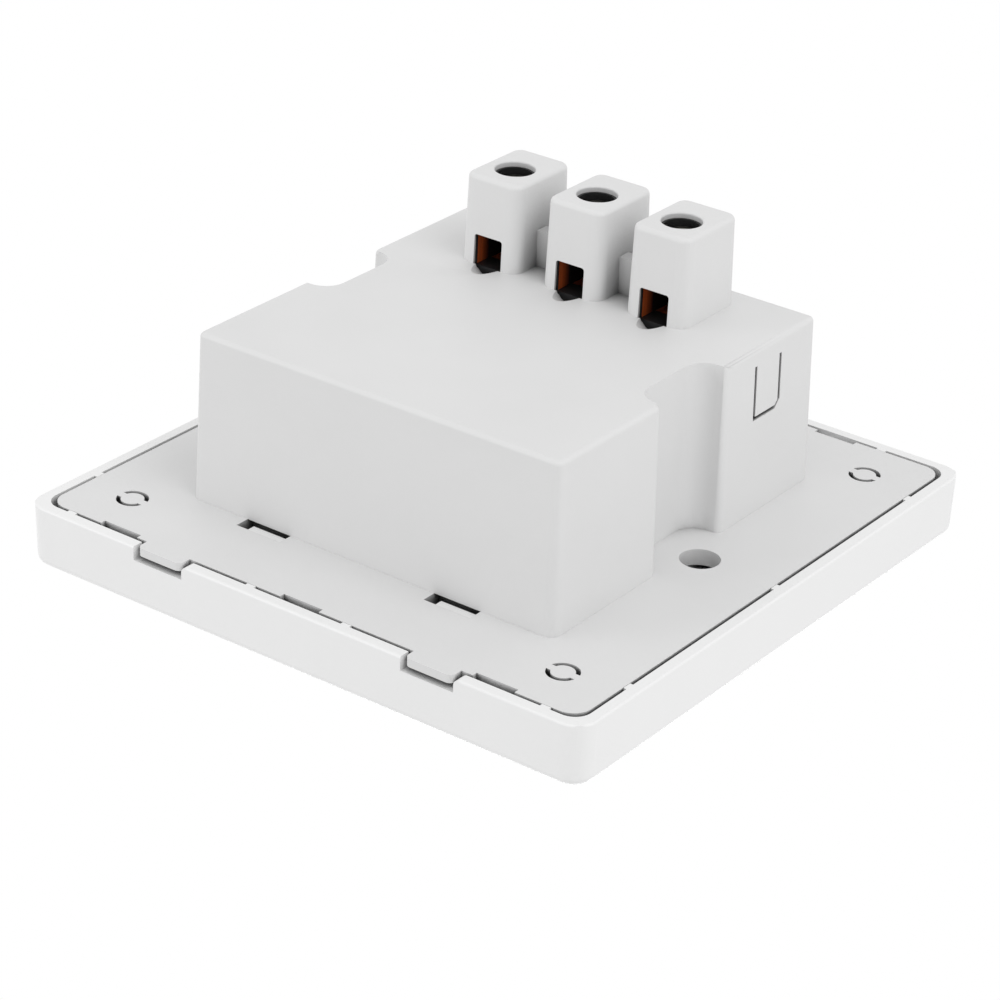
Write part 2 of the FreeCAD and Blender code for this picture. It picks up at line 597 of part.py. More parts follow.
def shutter_springs():
    """A folded leaf spring behind each shutter, pushing it shut."""
    for name, z in SHUTTERS:
        body = piece(name + "_shutter_spring")
        start = "%s_shutter_right+spring_gap" % name
        y = "(frame_thick+frame_wall-spring_width)/2-frame_top"
        made = sketch(body, name + "_folds", "y", start, y, z)
        folds = range(round(figure("spring_folds")) + 1)
        step = "(spring_room-2*spring_gap)/spring_folds"
        ridge = [("%d*%s" % (i, step), "-spring_reach" if i % 2 else "spring_reach") for i in folds]
        outline = [(x, height + "+spring_half") for x, height in ridge]
        outline += [(x, height + "-spring_half") for x, height in ridge[::-1]]
        polygon(made, outline)
        pad(made, "spring_width", "+y")


# Push button: a turned cap with a flange behind the frame and a stem that reaches the switch.
INSIDE_SIZES = {
    "button_slide_gap": 0.08, "button_proud": 0.4, "button_crown": 0.5, "stem_radius": 1.4,
    "stem_gap": 0.2, "stem_end": 0.4, "plunger_side": 1.8, "plunger_gap": 0.08, "plunger_length": 1.4,
    "plunger_in": 0.8, "plunger_room": 0.3,
    # Light guide: a clear bar from the face back to the lamp.
    "light_collar_width": 5.0, "light_collar_height": 2.0, "light_end": 0.7, "light_setback": 0.05,
    # Contact base: the black moulding that carries the contacts, screwed to the housing's bosses.
    "base_width": 54.0, "base_height": 60.4, "base_thick": 1.0, "base_recess": 25.0,
    "base_recess_height": 15.0, "block_width": 22.4, "block_low": 22.0, "block_high": 20.5,
    "block_depth": 8.4, "catch_notch_gap": 0.12, "jaw_room_width": 3.8, "jaw_room_height": 7.8,
    "post_side": 1.6, "post_inset": 1.2, "post_inner_place": 3.3, "post_inner_inset": 3.5,
    "board_front": 11.5, "board_thick": 1.6, "board_width": 42.0, "board_low": 25.5, "board_high": 20.6,
    "small_board_front": 1.5, "small_board_thick": 1.0, "small_board_left": 13.4,
    "small_board_right": 25.4, "small_board_low": 13.6, "small_board_high": 25.4, "screw_shank": 1.0,
    "screw_head_thick": 1.2, "base_screw_length": 7.0, "base_screw_hole": 1.3,
}
write_sizes(INSIDE_SIZES)


def push_button():
    body = piece("push_button")
    seat = "(frame_wall-frame_top)"
    tip = "(-cover_depth-button_proud)"
    outline = [(tip, "0"), (tip, "button_radius-button_crown"), (tip + "+button_crown", "button_radius")]
    outline += [(seat + "+flange_thick", "button_radius"), (seat + "+flange_thick", "stem_radius")]
    outline += [(PLUNGER_FRONT, "stem_radius"), (PLUNGER_FRONT, "0")]
    turned(body, "button_profile", "button_place_x", "button_place_z", outline)
    # The square flange keeps the cap from turning and from coming out of the cover.
    made = sketch(body, "button_flange", "y", "button_place_x", seat, "button_place_z")
    rectangle(made, "flange_side", "flange_side")
    pad(made, "flange_thick", "+y")
    box_piece("switch_plunger", "button_place_x", PLUNGER_FRONT, "button_place_z",
              "plunger_side", "plunger_length", "plunger_side")


PLUNGER_FRONT = "(-plate_thick-stem_end)"
SWITCH_FRONT = "(%s+plunger_length-plunger_in)" % PLUNGER_FRONT


def light_guide():
    body = piece("light_guide")
    made = sketch(body, "guide_bar", "y", "button_place_x", "light_setback-cover_depth", "light_place_z")
    rectangle(made, "light_width", "light_height")
    pad(made, "cover_depth-light_setback+light_end", "+y")
    made = sketch(body, "guide_collar", "y", "button_place_x", "frame_wall-frame_top", "light_place_z")
    rectangle(made, "light_collar_width", "light_collar_height")
    pad(made, "flange_thick", "+y")


def contact_base():
    body = piece("contact_base")
    made = sketch(body, "base_outline", "y", "0", "-plate_thick")
    rectangle(made, "base_width", "base_height")
    pad(made, "base_thick", "-y")
    made = sketch(body, "base_recess", "y", "0", "-plate_thick")
    for sign in ("", "-"):
        rectangle(made, "base_width-2*base_recess", "base_recess_height", sign + "base_width/2")
    pocket(made, "base_thick", "-y")
    made = sketch(body, "catch_notches", "y", "0", "-plate_thick")
    depth = "(base_height-box_height-2*catch_gap+2*catch_notch_gap)"
    for x, up in CATCHES:
        rectangle(made, "catch_width+2*catch_notch_gap", depth, x, up + "base_height/2")
    pocket(made, "base_thick", "-y")
    made = sketch(body, "block_outline", "y", "0", "-plate_thick", "(block_high-block_low)/2")
    rectangle(made, "block_width", "block_high+block_low")
    pad(made, "plate_thick+block_depth", "+y")
    for name, x, z, turn in PIN_SLOTS:
        made = sketch(body, name + "_jaw_room", "y", x, "block_depth", z, turn)
        rectangle(made, "jaw_room_width", "jaw_room_height")
        pocket(made, "plate_thick+block_depth", "-y")
    pin_slots(body, "-plate_thick-base_thick", "frame_slot_grow", "base_thick+overcut", "+y")
    made = sketch(body, "base_screw_holes", "y", "0", "-plate_thick")
    for x, z in BOSSES:
        disc(made, "base_screw_hole", x, z)
    pocket(made, "base_thick", "-y")
    made = sketch(body, "stem_hole", "y", "button_place_x", "-plate_thick", "button_place_z")
    disc(made, "stem_radius+stem_gap")
    pocket(made, "base_thick", "-y")
    made = sketch(body, "guide_hole", "y", "button_place_x", "-plate_thick", "light_place_z")
    rectangle(made, "light_width+2*light_gap", "light_height+2*light_gap")
    pocket(made, "base_thick", "-y")
    made = sketch(body, "board_posts", "y", "0", "block_depth")
    side = "(block_width/2-post_inset)"
    for x, z in ((side, "post_inset-block_low"), ("-" + side, "post_inset-block_low"),
                 (side, "block_high-post_inset"), ("-post_inner_place", "block_high-post_inner_inset")):
        rectangle(made, "post_side", "post_side", x, z)
    pad(made, "board_front-block_depth", "+y")
    made = sketch(body, "small_board_posts", "y", "0", "-plate_thick")
    left, right = "small_board_left+post_inset", "small_board_right-post_inset"
    for x, z in ((left, "small_board_high-post_inset"), (right, "small_board_high-post_inset"),
                 (left, "small_board_low+post_inset")):
        rectangle(made, "post_side", "post_side", x, z)
    pad(made, "plate_thick+small_board_front", "+y")


def base_screws():
    """Two cheese-head screws that hold the contact base to the housing's bosses."""
    seat = "(-plate_thick-base_thick)"
    head = seat + "-screw_head_thick"
    for index, (x, z) in enumerate(BOSSES):
        body = piece("base_screw_%d" % (index + 1))
        outline = [(head, "0"), (head, "base_screw_head"), (seat, "base_screw_head"), (seat, "screw_shank")]
        outline += [(seat + "+base_screw_length", "screw_shank"), (seat + "+base_screw_length", "0")]
        turned(body, "screw_profile_%d" % (index + 1), x, z, outline)


# Contacts: stamped strips with a pair of spring leaves behind each pin slot and a terminal leg.
CONTACT_SIZES = {
    "leaf_thick": 0.5, "leaf_width": 6.0, "leaf_gap": 1.3, "leaf_length": 9.4, "strap_thick": 0.8,
    "strap_inner": 4.4, "strap_outer": 9.4, "strap_low": 18.5, "strap_high": 17.5, "leg_width": 4.1,
    "leg_far": 22.1, "tongue_near": 15.9, "tongue_top": 22.5, "foot_length": 5.7,
    "earth_strap_half": 2.2, "earth_strap_low": 5.2, "cross_strap_height": 2.8, "tail_inset": 1.0,
    "tail_place": -3.0, "tail_width": 1.6,
}
write_sizes(CONTACT_SIZES)


def leaves(body, wanted):
    """A pair of spring leaves behind each wanted pin slot, hanging from the strap."""
    for name, x, z, turn in PIN_SLOTS:
        if name not in wanted:
            continue
        made = sketch(body, name + "_leaves", "y", x, "block_depth", z, turn)
        for sign in ("", "-"):
            rectangle(made, "leaf_thick", "leaf_width", sign + "(leaf_gap+leaf_thick)/2")
        pad(made, "leaf_length", "-y")


def terminal_leg(body, name, x, start):
    """A strip that runs back from a level and bends over to make the clamp's tongue."""
    made = sketch(body, name + "_leg", "x", x + "-leg_width/2")
    near = "leg_far-strap_thick"
    outline = [(start, near), ("tongue_top-strap_thick", near), ("tongue_top-strap_thick", "tongue_near")]
    outline += [("tongue_top", "tongue_near"), ("tongue_top", "leg_far"), (start, "leg_far")]
    polygon(made, outline)
    pad(made, "leg_width", "+x")


def contacts():
    body = piece("live_contact")
    made = sketch(body, "live_strap", "y", "(strap_inner+strap_outer)/2", "block_depth",
                  "(strap_high-strap_low)/2")
    rectangle(made, "strap_outer-strap_inner", "strap_high+strap_low")
    pad(made, "strap_thick", "+y")
    leaves(body, ("two_pin_live", "three_pin_live"))
    made = sketch(body, "live_tail", "y", "strap_outer-tail_inset", "block_depth+strap_thick", "tail_place")
    rectangle(made, "strap_thick", "tail_width")
    pad(made, "board_front-block_depth-strap_thick", "+y")
    body = piece("neutral_contact")
    made = sketch(body, "neutral_strap", "y", "0", "block_depth")
    cross = "leg_far-cross_strap_height"
    far = TERMINAL_X["neutral"] + "-leg_width/2"
    polygon(made, [("-strap_inner", "-strap_low"), ("-strap_inner", "leg_far"),
                   (far, "leg_far"), (far, cross),
                   ("-strap_outer", cross), ("-strap_outer", "-strap_low")])
    pad(made, "strap_thick", "+y")
    leaves(body, ("two_pin_neutral", "three_pin_neutral"))
    terminal_leg(body, "neutral", TERMINAL_X["neutral"], "block_depth")
    body = piece("earth_contact")
    made = sketch(body, "earth_strap", "y", "0", "block_depth", "(leg_far-earth_strap_low)/2")
    rectangle(made, "2*earth_strap_half", "leg_far+earth_strap_low")
    pad(made, "strap_thick", "+y")
    leaves(body, ("three_pin_earth",))
    terminal_leg(body, "earth", TERMINAL_X["earth"], "block_depth")
    body = piece("live_input_strip")
    made = sketch(body, "live_foot", "y", TERMINAL_X["live"], "board_front+board_thick",
                  "leg_far-foot_length/2")
    rectangle(made, "leg_width", "foot_length")
    pad(made, "strap_thick", "+y")
    terminal_leg(body, "live", TERMINAL_X["live"], "board_front+board_thick")


# Terminals: a black liner in each tower, with a snout behind the window and a tube in the screw
# hole; in it a cage round the strip's tongue, a pressure plate and a screw through the cage's roof.
TERMINAL_SIZES = {
    "liner_gap": 0.05, "liner_wall": 0.5, "liner_start": 20.6, "snout_wall": 0.3, "sill_width": 4.1,
    "sill_far": 15.8, "sill_top": 22.6, "frame_opening": 4.1, "frame_opening_top": 26.75,
    "tube_wall": 0.3, "tube_setback": 0.75, "cage_half": 2.75, "cage_wall": 0.6, "cage_near": 14.2,
    "cage_far": 20.9, "cage_floor": 0.75, "cage_roof_low": 28.3, "cage_top": 29.5, "cheek_near": 12.95,
    "cheek_top": 26.75, "plate_half": 2.05, "plate_near": 14.8, "plate_far": 20.4,
    "clamp_plate_low": 27.1, "clamp_plate_thick": 1.0, "thread_radius": 1.9, "thread_gap": 0.05,
    "screw_recess": 2.7, "drive_width": 0.7, "drive_depth": 1.1, "drive_length": 3.0,
}
write_sizes(TERMINAL_SIZES)


def terminal_liner(name, x):
    """The black lining of a tower's shaft, open below, with its snout, sill and tube."""
    body = piece(name + "_terminal_liner")
    roof = "(box_depth+tower_height-tower_roof-liner_gap)"
    middle = "(shaft_near+shaft_far)/2"
    made = sketch(body, name + "_liner_outline", "y", x, "liner_start", middle)
    rectangle(made, "shaft_width-2*liner_gap", "shaft_far-shaft_near-2*liner_gap")
    pad(made, roof + "-liner_start", "+y")
    front = "(%s+wire_lip+liner_gap)" % TOWER_FACE
    top = "(box_depth+wire_height+snout_room_rim-liner_gap)"
    near = "(shaft_near+liner_gap)"
    made = sketch(body, name + "_snout", "z", x, "(%s+liner_start)/2" % top, near)
    rectangle(made, "snout_room_width-2*liner_gap", top + "-liner_start")
    pad(made, "%s-%s" % (near, front), "-z")
    thin = "2*(liner_gap+liner_wall)"
    made = sketch(body, name + "_liner_hollow", "y", x, "liner_start", middle)
    rectangle(made, "shaft_width-" + thin, "shaft_far-shaft_near-" + thin)
    pocket(made, roof + "-liner_wall-liner_start", "+y")
    made = sketch(body, name + "_snout_hollow", "z", x, "(%s-snout_wall+liner_start)/2" % top,
                  front + "+snout_wall")
    rectangle(made, "snout_room_width-2*(liner_gap+snout_wall)", top + "-snout_wall-liner_start")
    pocket(made, "%s+liner_wall-%s-snout_wall" % (near, front), "+z")
    made = sketch(body, name + "_sill", "y", x, "liner_start", "(sill_far+%s)/2" % front)
    rectangle(made, "sill_width", "sill_far-" + front)
    pad(made, "sill_top-liner_start", "+y")
    made = sketch(body, name + "_entry", "z", x, "(sill_top+frame_opening_top)/2", front)
    rectangle(made, "frame_opening", "frame_opening_top-sill_top")
    pocket(made, "snout_wall", "+z")
    made = sketch(body, name + "_tube", "y", x, roof, "screw_place")
    disc(made, "screw_hole_radius-liner_gap")
    pad(made, "tower_roof+liner_gap-tube_setback", "+y")
    made = sketch(body, name + "_tube_bore", "y", x, "box_depth+tower_height", "screw_place")
    disc(made, "screw_hole_radius-liner_gap-tube_wall")
    pocket(made, "tower_roof+overcut", "-y")


def terminal(name, x):
    body = piece(name + "_terminal_cage")
    made = sketch(body, name + "_cage_outline", "z", x, "0", "cage_near")
    low = "tongue_top-strap_thick"
    polygon(made, [("-cage_half", low + "-cage_floor"), ("cage_half", low + "-cage_floor"),
                   ("cage_half", "cage_top"), ("-cage_half", "cage_top")])
    inner = "(cage_half-cage_wall)"
    polygon(made, [("-" + inner, low), (inner, low), (inner, "cage_roof_low"),
                   ("-" + inner, "cage_roof_low")])
    pad(made, "cage_far-cage_near", "+z")
    # The cage's sides run forward beside the liner's sill, to just behind the window.
    made = sketch(body, name + "_cheeks", "z", x, "(cheek_top+%s-cage_floor)/2" % low, "cage_near")
    for sign in ("", "-"):
        rectangle(made, "cage_wall", "cheek_top-(%s-cage_floor)" % low, sign + "(cage_half-cage_wall/2)")
    pad(made, "cage_near-cheek_near", "-z")
    made = sketch(body, name + "_sill_notch", "y", x, low + "-cage_floor", "(cage_near+tongue_near)/2")
    rectangle(made, "2*" + inner, "tongue_near-cage_near")
    pocket(made, "cage_floor", "+y")
    made = sketch(body, name + "_thread_hole", "y", x, "cage_top", "screw_place")
    disc(made, "thread_radius+thread_gap")
    pocket(made, "cage_top-cage_roof_low", "-y")
    body = piece(name + "_clamp_plate")
    made = sketch(body, name + "_clamp_outline", "y", x, "clamp_plate_low", "(plate_near+plate_far)/2")
    rectangle(made, "2*plate_half", "plate_far-plate_near")
    pad(made, "clamp_plate_thick", "+y")
    body = piece(name + "_terminal_screw")
    tip = "(clamp_plate_low+clamp_plate_thick)"
    top = "(box_depth+tower_height-screw_recess)"
    outline = [(tip, "0"), (tip, "thread_radius"), (top, "thread_radius"), (top, "0")]
    turned(body, name + "_screw_profile", x, "screw_place", outline)
    made = sketch(body, name + "_drive", "y", x, top, "screw_place")
    polygon(made, cross_outline("drive_length/2", "drive_width/2"))
    pocket(made, "drive_depth", "-y")


def cross_outline(reach, half):
    """The twelve corners of a plus-shaped recess."""
    corners = []
    for right, up in ((1, 1), (-1, 1), (-1, -1), (1, -1)):
        arm = [("%d*%s" % (right, reach), "%d*%s" % (up, half)),
               ("%d*%s" % (right, half), "%d*%s" % (up, half)),
               ("%d*%s" % (right, half), "%d*%s" % (up, reach))]
        corners += arm if right * up > 0 else arm[::-1]
    return corners


# Electronics: the power board with its parts, the radio module and the small board of the button.
BOARD_SIZES = {
    "relay_left": 11.7, "relay_width": 9.2, "relay_length": 18.4, "relay_height": 13.1,
    "relay_place": 1.0, "coil_left": 6.0, "coil_width": 11.0, "coil_length": 10.0, "coil_height": 7.2,
    "coil_place": -17.0, "can_radius": 4.0, "can_height": 6.9, "can_place_x": -14.0,
    "can_place_z": -16.0, "disc_radius": 3.5, "disc_thick": 3.2, "disc_place_x": 12.5,
    "disc_place_z": -17.5, "fuse_width": 8.4, "fuse_thick": 4.0, "fuse_height": 7.3,
    "fuse_place_x": 12.0, "fuse_place_z": -6.0, "radio_place": -16.2, "radio_thick": 0.8,
    "radio_length": 16.0, "radio_height": 11.3, "shield_thick": 1.8, "shield_length": 9.0,
    "shield_height": 7.6, "shield_gap": 0.5, "switch_width": 4.6, "lamp_width": 2.0, "lamp_height": 1.2,
    "lamp_thick": 0.6,
}
write_sizes(BOARD_SIZES)


def box_piece(name, x, y, z, width, thick, height):
    """A plain rectangular part standing from y towards +y, centred on x and z."""
    body = piece(name)
    made = sketch(body, name + "_outline", "y", x, y, z)
    rectangle(made, width, height)
    pad(made, thick, "+y")
    return body


def electronics():
    rear = "board_front+board_thick"
    box_piece("main_board", "0", "board_front", "(board_high-board_low)/2", "board_width", "board_thick",
              "board_high+board_low")
    box_piece("relay", "relay_left+relay_width/2", "board_front-relay_height", "relay_place", "relay_width",
              "relay_height", "relay_length")
    box_piece("transformer", "coil_width/2-coil_left", rear, "coil_place",
              "coil_width", "coil_height", "coil_length")
    box_piece("fuse", "fuse_place_x", rear, "fuse_place_z", "fuse_width", "fuse_height", "fuse_thick")
    body = piece("filter_capacitor")
    outline = [(rear, "0"), (rear, "can_radius"),
               (rear + "+can_height", "can_radius"), (rear + "+can_height", "0")]
    turned(body, "can_profile", "can_place_x", "can_place_z", outline)
    body = piece("varistor")
    outline = [(rear, "0"), (rear, "disc_radius"),
               (rear + "+disc_thick", "disc_radius"), (rear + "+disc_thick", "0")]
    turned(body, "disc_profile", "disc_place_x", "disc_place_z", outline)
    box_piece("radio_board", "radio_place", "board_front-radio_height", "0", "radio_thick", "radio_height",
              "radio_length")
    box_piece("radio_shield", "radio_place+(radio_thick+shield_thick)/2",
              "board_front-shield_height-shield_gap", "0", "shield_thick", "shield_height", "shield_length")
    middle_x = "(small_board_left+small_board_right)/2"
    middle_z = "(small_board_low+small_board_high)/2"
    box_piece("button_board", middle_x, "small_board_front", middle_z, "small_board_right-small_board_left",
              "small_board_thick", "small_board_high-small_board_low")
    body = box_piece("tact_switch", "button_place_x", SWITCH_FRONT, "button_place_z", "switch_width",
                     "small_board_front-" + SWITCH_FRONT, "switch_width")
    made = sketch(body, "plunger_bore", "y", "button_place_x", SWITCH_FRONT, "button_place_z")
    rectangle(made, "plunger_side+2*plunger_gap", "plunger_side+2*plunger_gap")
    pocket(made, "plunger_in+press_travel+plunger_room", "+y")
    box_piece("signal_lamp", "button_place_x", "small_board_front-lamp_thick", "light_place_z", "lamp_width",
              "lamp_thick", "lamp_height")


def write_nodes():
    """Check every object and every piece, and write one file for each piece."""
    doc.recompute()
    for item in doc.Objects:
        if "Invalid" in item.State or "Error" in item.State:
            raise ValueError("%s is in a failed state" % item.Label)
    os.makedirs("parts", exist_ok=True)
    for node in nodes:
        shape = node.Shape
        if shape.isNull() or not shape.isValid() or not shape.Solids:
            raise ValueError("%s has no valid solid" % node.Label)
        shape.exportStep("parts/%s.step" % node.Label)
        low = shape.BoundBox
        print("%-24s %d solid %9.2f mm3  X %.2f %.2f  Y %.2f %.2f  Z %.2f %.2f" % (
            node.Label, len(shape.Solids), shape.Volume,
            low.XMin, low.XMax, low.YMin, low.YMax, low.ZMin, low.ZMax))


front_cover()
rear_housing()
shutter_frame()
shutters()
shutter_springs()
push_button()
light_guide()
contact_base()
base_screws()
contacts()
for terminal_name, terminal_x in TERMINAL_X.items():
    terminal_liner(terminal_name, terminal_x)
    terminal(terminal_name, terminal_x)
electronics()
write_nodes()
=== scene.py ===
import math

import bmesh
import bpy
import numpy as np
from mathutils import Matrix, Vector


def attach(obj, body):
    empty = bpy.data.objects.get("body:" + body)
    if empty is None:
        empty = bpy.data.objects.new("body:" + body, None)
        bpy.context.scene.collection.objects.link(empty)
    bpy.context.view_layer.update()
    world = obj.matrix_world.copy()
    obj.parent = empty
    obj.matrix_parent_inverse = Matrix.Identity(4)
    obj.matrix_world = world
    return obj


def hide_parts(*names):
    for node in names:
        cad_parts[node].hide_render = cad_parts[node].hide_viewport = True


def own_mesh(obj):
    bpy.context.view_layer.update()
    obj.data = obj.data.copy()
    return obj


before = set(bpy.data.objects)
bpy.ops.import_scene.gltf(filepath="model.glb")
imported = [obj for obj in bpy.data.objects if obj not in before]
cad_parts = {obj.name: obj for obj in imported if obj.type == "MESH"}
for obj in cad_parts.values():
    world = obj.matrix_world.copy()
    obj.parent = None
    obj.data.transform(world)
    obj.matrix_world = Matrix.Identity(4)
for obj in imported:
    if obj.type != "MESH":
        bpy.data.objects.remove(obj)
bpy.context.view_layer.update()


# Rear housing: plate, deep box and three terminal towers in one moulding of white PA66.
# It comes out of a steel mould with a fine spark-eroded texture, so it is matt all over,
# and every edge that the mould can't make sharp has a small radius.
HOUSING_WHITE = "#DEDEDE"
HOUSING_SHADE = "#D8D8D8"
HOUSING_ROUGHNESS = 0.52
HOUSING_GRAIN_DEPTH = 0.25
PLASTIC_IOR = 1.53
SPARK_GRAIN_MM = 0.35
SPARK_GRAIN_HEIGHT_MM = 0.02
GRAIN_DETAIL = 3.0
FLOW_PATCH_MM = 14.0
FLOW_PATCH_DETAIL = 2.0

# Painted shade: a kind of gap is its reach in mm, and the shares of open directions at which its
# walls are painted dark and left clean.
GAP_SHADE = "#1C1C1D"
NARROW_GAP_SHADE = (3.0, 0.14, 0.46)
TOWER_GAP_SHADE = (7.0, -0.15, 0.5)
GAP_RAYS = 8

# The colour sockets of a mix node: its first input, its second input and its output.
MIX_A, MIX_B, MIX_COLOUR = 6, 7, 2

# A CAD mesh's points are merged and its flat faces joined. Then each edge that turns by more than
# SHARP_DEG is rounded, a larger radius in ROUND_STEPS steps and the fine one in FINE_STEPS.
MERGE_MM = 0.002
FLAT_DEG = 0.6
SHARP_DEG = 20
ROUND_STEPS = 5
FINE_STEPS = 2
HOUSING_EDGE_MM = 0.12

# Where the edges with larger radii lie, in mm from the plate's middle, and those radii.
TERMINAL_PLACES_MM = (13.0, 0.0, -13.0)
SCREW_PLACE_MM = 17.6
SCREW_RIM_REACH_MM = 3.1
SCREW_RIM_RADIUS_MM = 0.25
TOWER_TOP_FROM_MM = 34.8
TOWER_TOP_RADIUS_MM = 0.7
BOX_TOP_MM = 22.8
BOX_TOP_SLACK_MM = 0.05
BOX_TOP_FROM_MM = 27.3
BOX_TOP_RADIUS_MM = 0.6
BAY_LOW_MM = 3
BAY_HIGH_MM = 21
BAY_FROM_MM = 26.5
BAY_HALF_MM = 7.0
BAY_SLACK_MM = 0.2
BAY_RADIUS_MM = 0.8


def linear(code):
    """Linear colour of an sRGB hex code: each channel c becomes ((c + 0.055) / 1.055) to the power 2.4.

    A channel too dark for that, up to 0.04045, becomes c / 12.92.
    """
    channels = np.array([int(code[i:i + 2], 16) for i in (1, 3, 5)]) / 255
    values = np.where(channels <= 0.04045, channels / 12.92, ((channels + 0.055) / 1.055) ** 2.4)
    return (*values.tolist(), 1.0)


def add_node(material, kind, links=(), **settings):
    """Adds one shader node; settings are its values and links joins (output, input name) pairs to it."""
    node = material.node_tree.nodes.new(kind)
    for name, value in settings.items():
        if hasattr(node, name):
            setattr(node, name, value)
        else:
            node.inputs[name.replace("_", " ")].default_value = value
    for output, name in links:
        material.node_tree.links.new(output, node.inputs[name])
    return node


def new_material(name):
    """A material with one empty surface, ready for its nodes."""
    material = bpy.data.materials.new(name)
    material.use_nodes = True
    material.node_tree.nodes.clear()
    return material


def finish_material(material, shader):
    """Joins a shader to the material's output."""
    output = add_node(material, "ShaderNodeOutputMaterial")
    material.node_tree.links.new(shader.outputs[0], output.inputs["Surface"])
    return material


def painted_gap_shade(material, tone, reach_mm, dark_share, clean_share):
    """A colour painted dark inside a gap: painted shade for walls that light hardly reaches.

    It fades from dark to clean as the share of directions open within reach_mm rises from dark_share
    to clean_share.
    """
    open_share = add_node(material, "ShaderNodeAmbientOcclusion", Distance=reach_mm / 1000,
                          samples=GAP_RAYS)
    fade = add_node(material, "ShaderNodeMapRange", [(open_share.outputs["AO"], "Value")])
    fade.inputs["From Min"].default_value = dark_share
    fade.inputs["From Max"].default_value = clean_share
    deep = add_node(material, "ShaderNodeMix", [(fade.outputs[0], "Factor"), (tone, MIX_B)],
                    data_type="RGBA")
    deep.inputs[MIX_A].default_value = linear(GAP_SHADE)
    return deep.outputs[MIX_COLOUR]


def moulded_plastic(name, colour, shade, roughness, grain_depth, gap_shades=(NARROW_GAP_SHADE,)):
    """Moulded thermoplastic: two close tones in soft flow patches, with a spark-eroded grain.

    The grain is a noise of one bump per SPARK_GRAIN_MM; the patches are a noise of one per
    FLOW_PATCH_MM. Inside each kind of gap it is given, it gets painted shade.
    """
    material = new_material(name)
    place = add_node(material, "ShaderNodeTexCoord")
    patches = add_node(material, "ShaderNodeTexNoise", [(place.outputs["Object"], "Vector")],
                       Scale=1000 / FLOW_PATCH_MM, Detail=FLOW_PATCH_DETAIL)
    tone = add_node(material, "ShaderNodeMix", [(patches.outputs["Fac"], "Factor")], data_type="RGBA")
    tone.inputs[MIX_A].default_value = linear(colour)
    tone.inputs[MIX_B].default_value = linear(shade)
    base = tone.outputs[MIX_COLOUR]
    for gap in gap_shades:
        base = painted_gap_shade(material, base, *gap)
    grain = add_node(material, "ShaderNodeTexNoise", [(place.outputs["Object"], "Vector")],
                     Scale=1000 / SPARK_GRAIN_MM, Detail=GRAIN_DETAIL)
    relief = add_node(material, "ShaderNodeBump", [(grain.outputs["Fac"], "Height")],
                      Strength=grain_depth, Distance=SPARK_GRAIN_HEIGHT_MM / 1000)
    shader = add_node(material, "ShaderNodeBsdfPrincipled",
                      [(base, "Base Color"), (relief.outputs["Normal"], "Normal")],
                      Roughness=roughness, IOR=PLASTIC_IOR)
    return finish_material(material, shader)


def edged_copy(node, name, edge_mm, material, body, rounder=()):
    """A CAD node's mesh, merged into flat faces and given the moulding's edge radii.

    Every sharp edge gets edge_mm; rounder lists (radius in mm, test) pairs, and an edge whose middle
    passes a test, in mm, gets that larger radius first.
    """
    shape = bmesh.new()
    shape.from_mesh(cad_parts[node].data)
    bmesh.ops.remove_doubles(shape, verts=shape.verts, dist=MERGE_MM / 1000)
    bmesh.ops.dissolve_limit(shape, angle_limit=math.radians(FLAT_DEG), verts=shape.verts,
                             edges=shape.edges)
    layers = []
    for k, (_, test) in enumerate(rounder):
        layer = shape.edges.layers.float.new("rounder_%d" % k)
        for edge in shape.edges:
            middle = (edge.verts[0].co + edge.verts[1].co) / 2 * 1000
            sharp = edge.is_manifold and edge.calc_face_angle() > math.radians(SHARP_DEG)
            edge[layer] = 1.0 if sharp and test(middle) else 0.0
        layers.append(layer.name)
    mesh = bpy.data.meshes.new(name)
    shape.to_mesh(mesh)
    shape.free()
    mesh.materials.clear()
    mesh.materials.append(material)
    mesh.shade_smooth()
    mesh.set_sharp_from_angle(angle=math.radians(SHARP_DEG))
    piece = bpy.data.objects.new(name, mesh)
    bpy.context.scene.collection.objects.link(piece)
    for layer, (radius_mm, _) in zip(layers, rounder):
        round_edge = piece.modifiers.new("edge radius " + layer, "BEVEL")
        round_edge.width = radius_mm / 1000
        round_edge.segments = ROUND_STEPS
        round_edge.limit_method = "WEIGHT"
        round_edge.edge_weight = layer
        round_edge.use_clamp_overlap = False
        round_edge.loop_slide = False
        round_edge.harden_normals = True
    if edge_mm:
        fine_edge = piece.modifiers.new("edge radius", "BEVEL")
        fine_edge.width = edge_mm / 1000
        fine_edge.segments = FINE_STEPS
        fine_edge.limit_method = "ANGLE"
        fine_edge.angle_limit = math.radians(SHARP_DEG)
        fine_edge.harden_normals = True
    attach(piece, body)
    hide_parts(node)
    return piece


def from_screw_hole(p):
    """Distance in mm from the middle of the nearest screw hole, along the wall."""
    return min(math.hypot(p.x - x, p.z - SCREW_PLACE_MM) for x in TERMINAL_PLACES_MM)


def tower_top(p):
    """The outer edge of a tower's top, but not the rim of its screw hole."""
    return p.y > TOWER_TOP_FROM_MM and from_screw_hole(p) > SCREW_RIM_REACH_MM


def screw_rim(p):
    """The rim of a tower's screw hole."""
    return p.y > TOWER_TOP_FROM_MM and from_screw_hole(p) < SCREW_RIM_REACH_MM


def box_top(p):
    """The outer edge of the box's rear face, which is drawn in by the mould's draft."""
    return abs(p.y - BOX_TOP_MM) < BOX_TOP_SLACK_MM and max(abs(p.x), abs(p.z)) > BOX_TOP_FROM_MM


def bay_side(p):
    """The long upright edges of the two screwdriver bays."""
    return (BAY_LOW_MM < p.y < BAY_HIGH_MM and abs(p.x) > BAY_FROM_MM
            and abs(abs(p.z) - BAY_HALF_MM) < BAY_SLACK_MM)
